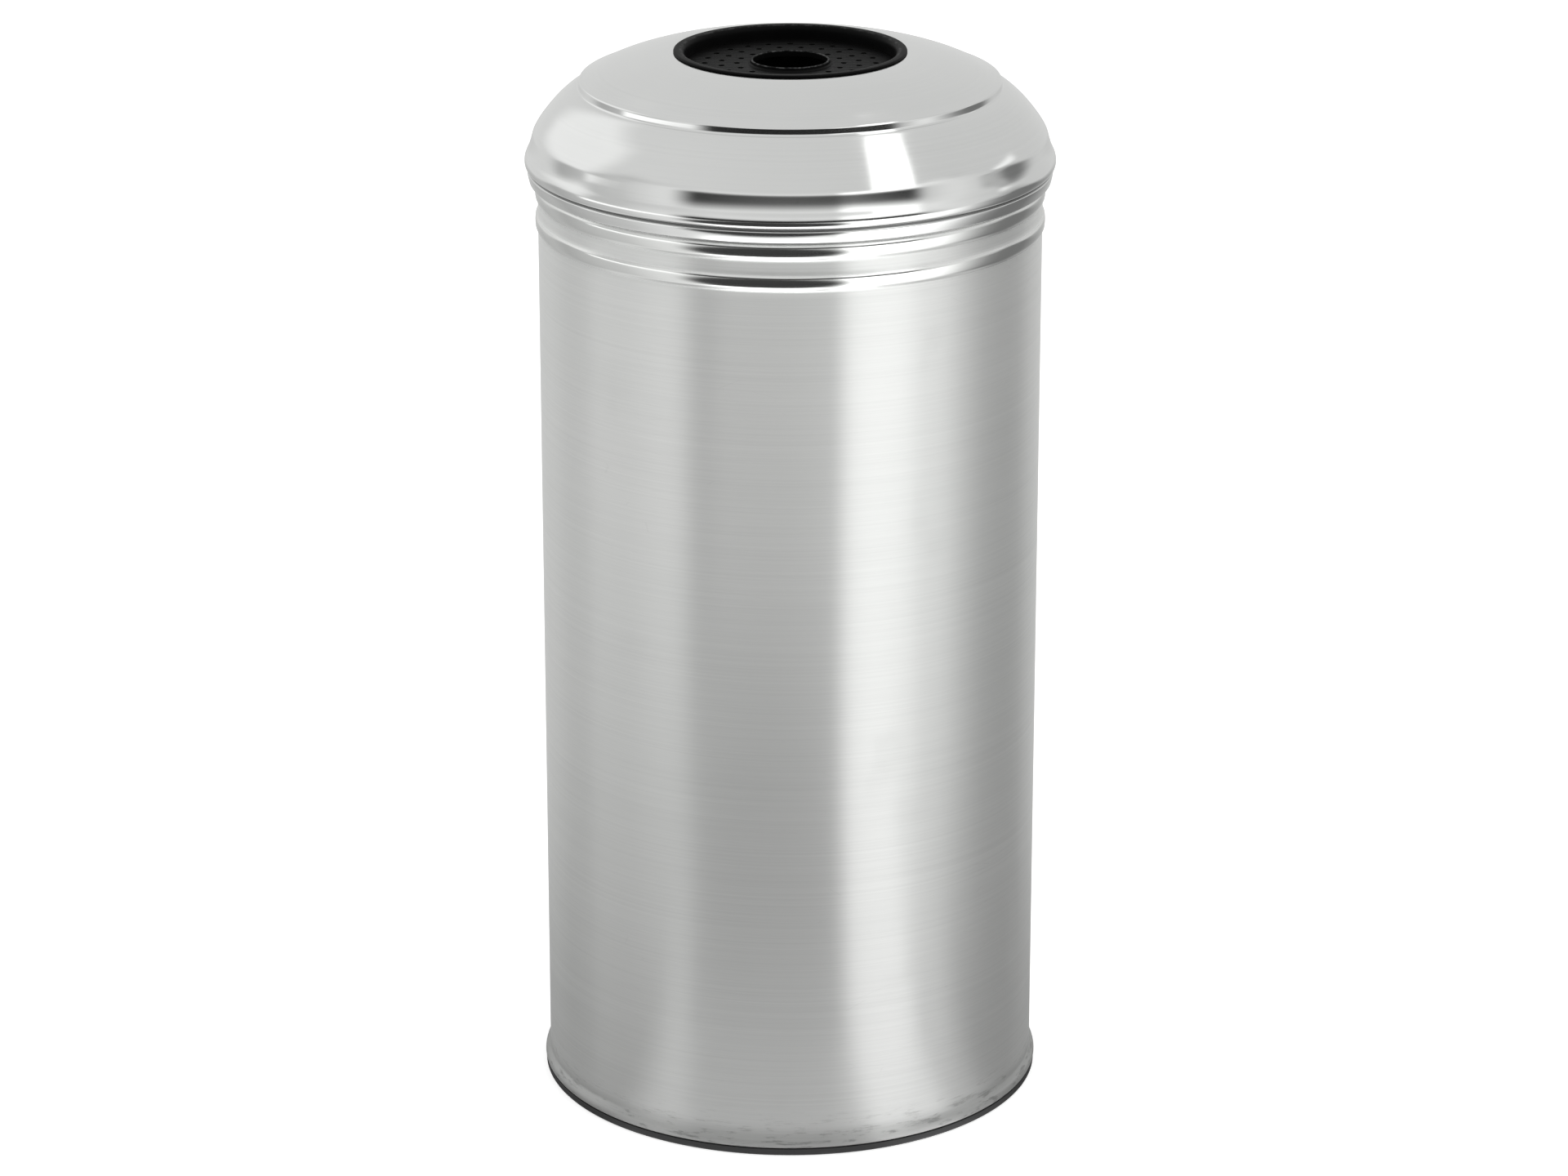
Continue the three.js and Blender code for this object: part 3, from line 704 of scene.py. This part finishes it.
# ---------------------------------------------------------------- lid
skirt = catmull([(154.98, 568.0), (155.38, 569.6), (155.84, 572.0), (156.02, 573.6)], 0.45)
bead_line = catmull(
    [
        (156.02, 573.6), (155.85, 574.3), (155.0, 574.85), (154.95, 575.35), (155.9, 575.9), (157.0, 576.7), (157.4, 577.8),
        (157.5, 579.2), (157.3, 580.9), (156.5, 583.0), (155.2, 585.8), (154.15, 588.8), (153.2, 592.2), (152.3, 595.6),
    ],
    0.3,
)
lower = catmull([(152.3, 595.6), (149.9, 599.8), (145.4, 605.9), (140.2, 612.0), (136.2, 615.8), (132.2, 619.2), (127.8, 621.9)], 0.8)
step_line = catmull(
    [
        (127.8, 621.9), (126.6, 622.3), (125.85, 622.65), (125.45, 623.3), (125.2, 624.4), (125.0, 625.4), (124.82, 626.3),
        (124.62, 626.85), (124.2, 627.2), (123.5, 627.5), (121.2, 628.5),
    ],
    0.25,
)
upper = catmull([(121.2, 628.5), (117.3, 630.3), (111.6, 633.0), (100.0, 637.2), (86.0, 640.8), (72.5, 642.9), (66.0, 642.9)], 1.0)


def dome_soft(r, z):
    if z < 586:
        return 0.10
    if z < 597:
        return 0.30
    if 622.4 < z < 630.8 and r > 117:
        return 0.05
    if r < 70:
        return 0.2
    return 0.5


dome_line = relax([*skirt, *bead_line[1:], *lower[1:], *step_line[1:], *upper[1:]], 26, dome_soft)
dome = lathe(
    "dome_lid_shell",
    hem_end(hem_end(sheet(dome_line, 1.0), 1.0, at_start=False), 1.0, at_start=True),
    LID,
    segments=360,
    angle=50,
)
place(dome, "lid", "lid_steel", "dome_lid")

collar = rounded(
    [(147.4, 558), (148.4, 558), (148.4, 577), (153.6, 577), (150.9, 588.6), (150.9, 592), (150, 592), (150, 588.4), (152.4, 578), (147.4, 578)],
    [0.35, 0.35, 0.6, 1.0, 1.5, 0.3, 0.3, 1.5, 0.8, 1.0],
    4,
)
place(lathe("lid_collar_ring", collar, LID), "lid", "lid_steel", "lid_collar")

# ---------------------------------------------------------------- ashtray insert and stub plate
tray = [
    (69.0, 643.2), (69.05, 643.5), (68.85, 644.05), (68.3, 644.38), (67.2, 644.4), (65.6, 644.4),
    (64.4, 644.2), (63.3, 643.4), (62.6, 642.2), (62.3, 640.0), (62.2, 636.2), (62.0, 635.0), (61.3, 634.45),
    (58.6, 634.4), (57.2, 634.2), (56.0, 633.5), (46.0, 622.9), (36.0, 612.4), (31.6, 607.7), (30.3, 605.4), (30.0, 603.4), (30.0, 600.0),
]
tray_surface = relax(catmull(tray, 0.5), 3)
n_skip = next(i for i, p in enumerate(tray_surface) if p[0] < 68.6 and p[1] > 644.2)
under = [(69.0, 643.2)]
tray_sec = sheet(tray_surface, 1.2)
half_n = len(tray_surface)
inner = [p for p in tray_sec[half_n:] if not (p[0] > 66.0 and p[1] > 641.5)]
tray_outline = [*tray_surface, *inner, (66.2, 643.2)]
place(lathe("ashtray_insert_bowl", tray_outline, BLACK, segments=240, angle=45), "ashtray", "black_enamel", "ashtray_insert")

holes = []
for ring, (rr, count) in enumerate(((31.5, 16), (41.0, 20), (50.5, 24))):
    for i in range(count):
        w = 2 * math.pi * (i + 0.5 * (ring % 2)) / count
        holes.append(circle(1.8, 22, rr * math.cos(w), rr * math.sin(w)))
plate_me = flat_plate("stub_plate_sheet", circle(61.8, 180), [circle(23.4, 120), *holes], 1.2, 0.14)
plate_v, plate_f = mesh_data(plate_me)
plate_v = [(x, y, z + 635.3 * MM) for x, y, z in plate_v]
bpy.data.meshes.remove(plate_me)
lip = rounded(
    [(22.0, 634.7), (23.7, 634.7), (24.9, 635.9), (23.6, 636.6), (23.3, 638.0), (22.6, 638.35), (22.0, 638.0)],
    [0.3, 0.1, 0.2, 0.6, 0.35, 0.35, 0.35],
    4,
)
stub = add_object(
    "stub_plate_perforated",
    mesh_from("stub_plate_perforated", (plate_v, plate_f), lathe_data(lip, 120), angle=35),
    BLACK,
)
place(stub, "stub_grid", "black_enamel", "stub_plate")

# ---------------------------------------------------------------- inner bucket
def wall_r(z):
    return 112.0 + (z - 13.8) * 12.0 / 410.2


def bucket_bead(zc):
    return [(wall_r(zc + u) + 0.75 * (1 + math.cos(math.pi * u / 4.4)), zc + u) for u in [-4.4 + 0.55 * i for i in range(17)]]


bucket_line = [
    *catmull([(112.6, 13.8), (113.45, 14.5), (113.7, 16.4), (113.5, 18.7), (112.6, 20.2), (wall_r(22), 22.0)], 0.5),
    *[(wall_r(z), z) for z in (40, 80, 120, 145)],
    *bucket_bead(150),
    *[(wall_r(z), z) for z in (160, 200, 240, 280, 320, 325)],
    *bucket_bead(330),
    *[(wall_r(z), z) for z in (340, 380, 400, 417)],
    *arc(125.8, 424, 1.8, 180, -105, 16),
]
pail = sheet(bucket_line, 0.8)
place(lathe("bucket_shell_surface", hem_end(pail, 0.8, at_start=True), GALV, segments=240), "bucket", "galvanised_steel", "bucket_shell")

bottom = rounded(
    [(0, 19.2), (110, 19.2), (110, 13.8), (110.8, 13.8), (110.8, 20), (0, 20)],
    [0, 0.5, 0.2, 0.2, 0.8, 0],
    4,
)
place(lathe("bucket_base_disc", bottom, GALV, segments=200), "bucket", "galvanised_steel", "bucket_base")
place(lathe("bucket_rim_wire_ring", circle(1.5, 20, 125.8, 424), ZINC, segments=200), "bucket", "zinc_wire", "bucket_rim_wire")


def bucket_seam():
    """Grooved side seam of the bucket, at the back."""
    verts, faces = [], []
    section = [(-4.2, -0.3), (-4.0, 0.15), (-3.4, 0.62), (-2.4, 0.82), (2.4, 0.82), (3.4, 0.62), (4.0, 0.15), (4.2, -0.3)]
    zs = [24 + (412 - 24) * i / 90 for i in range(91)]
    for z in zs:
        lift = 1.0
        for zc in (150, 330):
            if abs(z - zc) < 4.4:
                lift += 0
        base = wall_r(z)
        for zc in (150, 330):
            if abs(z - zc) < 4.4:
                base += 0.75 * (1 + math.cos(math.pi * (z - zc) / 4.4))
        for s, h in section:
            a = math.pi / 2 + s / base
            verts.append(((base + h * lift) * MM * math.cos(a), (base + h * lift) * MM * math.sin(a), z * MM))
    k = len(section)
    for j in range(len(zs) - 1):
        for i in range(k):
            i2 = (i + 1) % k
            faces.append([j * k + i, j * k + i2, (j + 1) * k + i2, (j + 1) * k + i])
    faces.append(list(range(k)))
    faces.append([(len(zs) - 1) * k + i for i in range(k)])
    me = bpy.data.meshes.new("bucket_side_seam")
    me.from_pydata(verts, [], faces)
    finish_mesh(me, 50)
    return add_object("bucket_side_seam", me, GALV)


place(bucket_seam(), "bucket", "galvanised_steel")


def ear(side):
    """A stamped ear: pad, joggle and rounded eye, bent from one flat blank."""
    pts = [(-12, 392.5), (12, 392.5), (15, 396), (15, 411), (9, 424), (9, 436)]
    top = [(9 * math.cos(math.radians(a)), 436 + 9 * math.sin(math.radians(a))) for a in range(5, 176, 5)]
    outline = rounded([*pts[:5], (9, 430)], [1.2, 1.2, 2.2, 3.0, 4.0, 0], 5) + [(9, 436), *top, (-9, 436), (-9, 430)]
    outline += rounded([(-9, 430), (-9, 424), (-15, 411), (-15, 396), (-12, 392.5)], [0, 4.0, 3.0, 2.2, 0], 5)[1:-1]
    eye = circle(2.5, 28, 0, 436)
    riv = [circle(2.3, 20, y, 402) for y in (-9, 9)]
    me = flat_plate("ear", outline, [eye, *riv], 1.6, 0.2)
    bm = bmesh.new()
    bm.from_mesh(me)
    bmesh.ops.remove_doubles(bm, verts=bm.verts, dist=1e-7)
    for i in range(13):
        zc = (413.5 + 0.75 * i) * MM
        geom = bm.verts[:] + bm.edges[:] + bm.faces[:]
        bmesh.ops.bisect_plane(bm, geom=geom, dist=1e-7, plane_co=(0, zc, 0), plane_no=(0, 1, 0))
    for v in bm.verts:
        y, z, t = v.co.x / MM, v.co.y / MM, v.co.z / MM
        k = max(0.0, min(1.0, (z - 414.6) / 6.4))
        k = k * k * (3 - 2 * k)
        x = 124.85 + 4.95 * k + t
        v.co = Vector((x * side, y * side, z)) * MM
    bm.to_mesh(me)
    bm.free()
    finish_mesh(me, 30)
    name = "handle_ear_plate_right" if side > 0 else "handle_ear_plate_left"
    me.name = name
    o = add_object(name, me, GALV)
    return place(o, "bucket", "galvanised_steel", "handle_ear_right" if side > 0 else "handle_ear_left")


ear(1)
ear(-1)

rivet_profile = rounded(
    [(0, 119.6), (2.8, 119.7), (3.4, 120.2), (3.4, 120.9), (2.0, 120.9), (2.0, 125.95), (3.9, 125.95), (3.8, 126.8), (3.0, 127.5), (1.6, 127.8), (0, 127.85)],
    [0, 0.4, 0.3, 0.15, 0.1, 0.1, 0.15, 0.5, 0.6, 0.8, 0],
    3,
)
for side, y, label in ((-1, 9, "left_rear"), (-1, -9, "left_front"), (1, -9, "right_front"), (1, 9, "right_rear")):
    turn = Matrix.Translation((0, y * MM, 402 * MM)) @ Matrix.Rotation(0 if side > 0 else math.pi, 4, "Z") @ Matrix.Rotation(math.pi / 2, 4, "Y")
    o = lathe(f"rivet_{label}", rivet_profile, ZINC, segments=40, m=turn)
    place(o, "bucket", "zinc_wire", f"ear_rivet_{label}")

# ---------------------------------------------------------------- bail
droop = math.radians(-20)
NORMAL = Vector((0, -math.sin(droop), math.cos(droop)))


def in_plane(x, s):
    return Vector((x, s * math.cos(droop), 436 + s * math.sin(droop))) * MM


bend = arc(134.5, 4.5, 4.5, -90, 0, 10)
first = math.degrees(math.asin(4.5 / 139))
bow = arc(0, 0, 139, first, 180 - first, 150)[1:-1]
start = [(124.5, 0), (124.8, 0), (125.4, 0), (128, 0), (131, 0)]
wire_line = [*start, *bend, *bow, *[(-x, s) for x, s in reversed([*start, *bend])]]
wire_pts = [in_plane(x, s) for x, s in wire_line]
wire_rad = [2.0] * len(wire_pts)
for k, rr in ((0, 1.35), (1, 1.75)):
    wire_rad[k] = wire_rad[-1 - k] = rr
me = mesh_from("bail_wire_bow", tube_data(wire_pts, [r * MM for r in wire_rad], NORMAL, 24), angle=50)
place(add_object("bail_wire_bow", me, ZINC), "bail", "zinc_wire", "bail_wire")

# grip: a hollow moulding with finger ribs, curved with the bow
grip_n = 120
grip_pts, grip_out = [], []
for i in range(grip_n + 1):
    a = 70 + 40 * i / grip_n
    grip_pts.append(in_plane(139 * math.cos(math.radians(a)), 139 * math.sin(math.radians(a))))
    e = min(i, grip_n - i) / grip_n
    r = 6.1
    if 0.10 < e:
        r += 0.32 * math.sin((i / grip_n) * math.pi * 22) * min(1.0, (e - 0.10) / 0.05)
    r = r - 1.3 * max(0.0, 1 - e / 0.035) ** 2
    if 0.045 < e < 0.085:
        r = 6.45
    grip_out.append(r * MM)
gv, gf = tube_data(grip_pts, grip_out, NORMAL, 32, cap=False)
iv, ifc = tube_data(grip_pts, [2.3 * MM] * len(grip_pts), NORMAL, 32, cap=False)
base = len(gv)
gf += [[base + i for i in reversed(f)] for f in ifc]
gv += iv
last = grip_n * 32
for k in range(32):
    k2 = (k + 1) % 32
    gf.append([k, base + k, base + k2, k2])
    gf.append([last + k, last + k2, base + last + k2, base + last + k])
me = mesh_from("bail_grip_moulding", (gv, gf), angle=45)
place(add_object("bail_grip_moulding", me, GRIP), "bail", "grip_plastic", "bail_grip")

# ---------------------------------------------------------------- floor
fm = bpy.data.materials.new("studio_floor")
fm.use_nodes = True
g = Nodes(fm.node_tree)
speckle = g.noise(g.node("ShaderNodeTexCoord").outputs["Object"], 60.0, 3.0, 0.5)
tone = g.add(0.80, g.mul(g.sub(speckle, 0.5), 0.01))
diff = g.node("ShaderNodeBsdfDiffuse", {0: g.node("ShaderNodeCombineColor", {0: tone, 1: tone, 2: tone}).outputs[0]})
glow = g.node("ShaderNodeEmission", {0: (1, 1, 1, 1), 1: 0.60})
mixs = g.node("ShaderNodeAddShader")
g.tree.links.new(diff.outputs[0], mixs.inputs[0])
g.tree.links.new(glow.outputs[0], mixs.inputs[1])
out = g.node("ShaderNodeOutputMaterial")
g.tree.links.new(mixs.outputs[0], out.inputs[0])
me = bpy.data.meshes.new("floor")
S = 30.0
me.from_pydata([(-S, -S, 0), (S, -S, 0), (S, S, 0), (-S, S, 0)], [], [[0, 1, 2, 3]])
me.materials.append(fm)
floor = bpy.data.objects.new("floor", me)
scene.collection.objects.link(floor)
floor.visible_glossy = False

# the bin's own soft shadow on the floor, as the polished steel sees it
pm = bpy.data.materials.new("floor_shade")
pm.use_nodes = True
g = Nodes(pm.node_tree)
xyz = g.node("ShaderNodeSeparateXYZ", {0: g.node("ShaderNodeTexCoord").outputs["Object"]}).outputs
flat = g.node("ShaderNodeCombineXYZ", {0: xyz[0], 1: xyz[1], 2: 0.0}).outputs[0]
radius = g.node("ShaderNodeVectorMath", {0: flat}, operation="LENGTH").outputs["Value"]
clear = g.node("ShaderNodeBsdfTransparent")
ang = g.mul(g.math("ARCTAN2", xyz[0], g.mul(xyz[1], -1.0)), 180 / math.pi)
# painted reflection: the disc glows dim at the back, brighter to the front and brightest in a band 22 to 46 degrees to
# the right, standing in for lit floor as the steel reflects it
lit = g.mul(g.mul(g.step(ang, -54, -38), g.step(ang, 50, 72, 1.0, 0.0)), 0.62)
lit = g.add(g.add(lit, 0.14), g.mul(g.band(ang, 22, 46, 5), 0.85))
shade = g.node("ShaderNodeEmission", {0: (1, 1, 1, 1), 1: lit})
mixs = g.node("ShaderNodeMixShader", {0: g.step(radius, 0.30, 0.62, 0.95, 0.0)})
g.tree.links.new(clear.outputs[0], mixs.inputs[1])
g.tree.links.new(shade.outputs[0], mixs.inputs[2])
out = g.node("ShaderNodeOutputMaterial")
g.tree.links.new(mixs.outputs[0], out.inputs[0])
me = bpy.data.meshes.new("floor_shade")
me.from_pydata([(0.65 * math.cos(2 * math.pi * k / 64), 0.65 * math.sin(2 * math.pi * k / 64), 0.0004) for k in range(64)], [], [list(range(64))])
me.materials.append(pm)
pool = bpy.data.objects.new("floor_shade", me)
scene.collection.objects.link(pool)
pool.visible_camera = pool.visible_diffuse = pool.visible_shadow = pool.visible_transmission = False

# ---------------------------------------------------------------- studio world
world = bpy.data.worlds.new("studio")
scene.world = world
world.use_nodes = True
g = Nodes(world.node_tree)
d = g.node("ShaderNodeSeparateXYZ", {0: g.node("ShaderNodeTexCoord").outputs["Generated"]}).outputs
DEG = 180 / math.pi
az = g.mul(g.math("ARCTAN2", d[0], g.mul(d[1], -1.0)), DEG)  # 0 to the front, + to the right
el = g.mul(g.math("ARCSINE", d[2]), DEG)
TOP = 1.6
wall_table = [
    (-180, .35), (-150, .270), (-133, .290), (-120, .250), (-111, .275), (-94, .320), (-79, .345), (-72, .390), (-60, .455),
    (-48, .470), (-42, .450), (-31, .420), (0, .400), (12, .450), (17, .47), (20, .52), (24, .88), (28, 1.12), (57, 1.05),
    (64, .75), (70, .76), (77, .60), (84, .40), (91, .265), (99, .155), (108, .110), (117, .105), (129, .110),
    (143, .18), (168, .32), (180, .35),
]
ALBEDO = 0.735
wall = g.mul(g.ramp(g.remap(az, -180, 180), [((a + 180) / 360, v / ALBEDO / TOP) for a, v in wall_table]), TOP)


def by_elevation(stops):
    return g.mul(g.ramp(g.remap(el, -90, 90), [((e + 90) / 180, v / 3) for e, v in stops]), 3)


# all round: floor glow below, a dim strip of far floor, bright walls round the horizon
glow = g.add(0.50, g.mul(wall, 0.62))
light = g.lerp(g.step(el, -46, -33), glow, g.mul(wall, by_elevation([(-90, 1.3), (-6, 1.35), (24, 1.35), (36, 1.0), (90, 1.0)])))
# the open side of the room that the bin faces: bright floor close by, a dark middle, plain above
front = g.mul(g.step(az, -52, -32), g.step(az, 17, 23, 1.0, 0.0))
light = g.lerp(front, light, by_elevation([(-90, 2.45), (-50, 2.55), (-41, 2.2), (-34, 1.0), (8, 0.68), (20, 0.85), (36, 0.9), (90, 0.7)]))
e_az = g.math("POWER", g.math("ABSOLUTE", g.mul(g.add(az, 11), 1 / 38)), 2.0)
e_el = g.math("POWER", g.math("ABSOLUTE", g.mul(g.add(el, 17), 1 / 18.5)), 2.0)
light = g.lerp(g.step(g.math("SQRT", g.add(e_az, e_el)), 0.78, 1.15, 1.0, 0.0), light, 0.05)
light = g.lerp(g.mul(g.band(az, -100, -46, 4), g.band(el, -5, 5.5, 2.5)), light, 1.35)
over = g.mul(g.step(az, -56, -41), g.step(az, 52, 84, 1.0, 0.0))
over = g.mul(over, g.mul(g.step(el, -2, 3), g.step(el, 12, 30, 1.0, 0.0)))
light = g.lerp(over, light, 0.02)
light = g.lerp(g.mul(g.mul(g.band(az, 60, 104, 5), g.band(el, 4, 30, 4)), 0.8), light, 0.8)
# ceiling and the room behind, seen in the dome
sky = g.add(0.715, g.mul(d[0], -0.05))
light = g.lerp(g.step(g.add(el, g.add(g.step(d[1], -0.15, 0.35, 0.0, 22.0), g.step(d[1], 0.35, 0.8, 0.0, 20.0))), 26, 38), light, sky)
light = g.lerp(g.mul(g.band(az, -150, -100, 7), g.band(el, 8, 44, 6)), light, 0.98)
# brighter and darker patches to the right
light = g.lerp(g.mul(g.band(az, 105, 122, 3), g.band(el, 15.5, 20.5, 2)), light, 1.1)
light = g.lerp(g.mul(g.band(az, 92, 108, 4), g.band(el, 5, 11, 2.5)), light, 0.50)
# a tall strip light to the right of the front
s_left = g.add(g.mul(d[0], 0.9577), g.mul(d[1], 0.288))
s_right = g.add(g.mul(d[0], 0.892), g.mul(d[1], 0.452))
strip = g.mul(g.step(s_left, 0.31, 0.335), g.step(s_right, 0.47, 0.495, 1.0, 0.0))
strip = g.mul(strip, g.mul(g.step(d[1], 0.40, 0.50, 1.0, 0.0), g.step(el, 27, 33)))
light = g.lerp(strip, light, 1.7)
colour = g.node("ShaderNodeCombineColor", {0: light, 1: g.mul(light, 1.006), 2: g.mul(light, 0.996)}).outputs[0]
bg = g.node("ShaderNodeBackground", {0: colour, 1: 1.0})
white = g.node("ShaderNodeBackground", {0: (1, 1, 1, 1), 1: 1.0})
lp = g.node("ShaderNodeLightPath")
mixs = g.node("ShaderNodeMixShader")
g.tree.links.new(lp.outputs["Is Camera Ray"], mixs.inputs[0])
g.tree.links.new(bg.outputs[0], mixs.inputs[1])
g.tree.links.new(white.outputs[0], mixs.inputs[2])
out = g.node("ShaderNodeOutputWorld")
g.tree.links.new(mixs.outputs[0], out.inputs[0])

# ---------------------------------------------------------------- camera
cam_data = bpy.data.cameras.new("camera")
cam_data.sensor_width = 36.0
cam_data.lens = 119.39
cam_data.clip_start, cam_data.clip_end = 0.05, 200.0
cam = bpy.data.objects.new("camera", cam_data)
scene.collection.objects.link(cam)
cam.location = (-0.0037, -3.0, 1.337)
cam.rotation_euler = (math.radians(90 - 18.92), 0, 0)
scene.camera = cam
scene.view_settings.view_transform = "Standard"
scene.view_settings.look = "None"

bpy.context.view_layer.update()
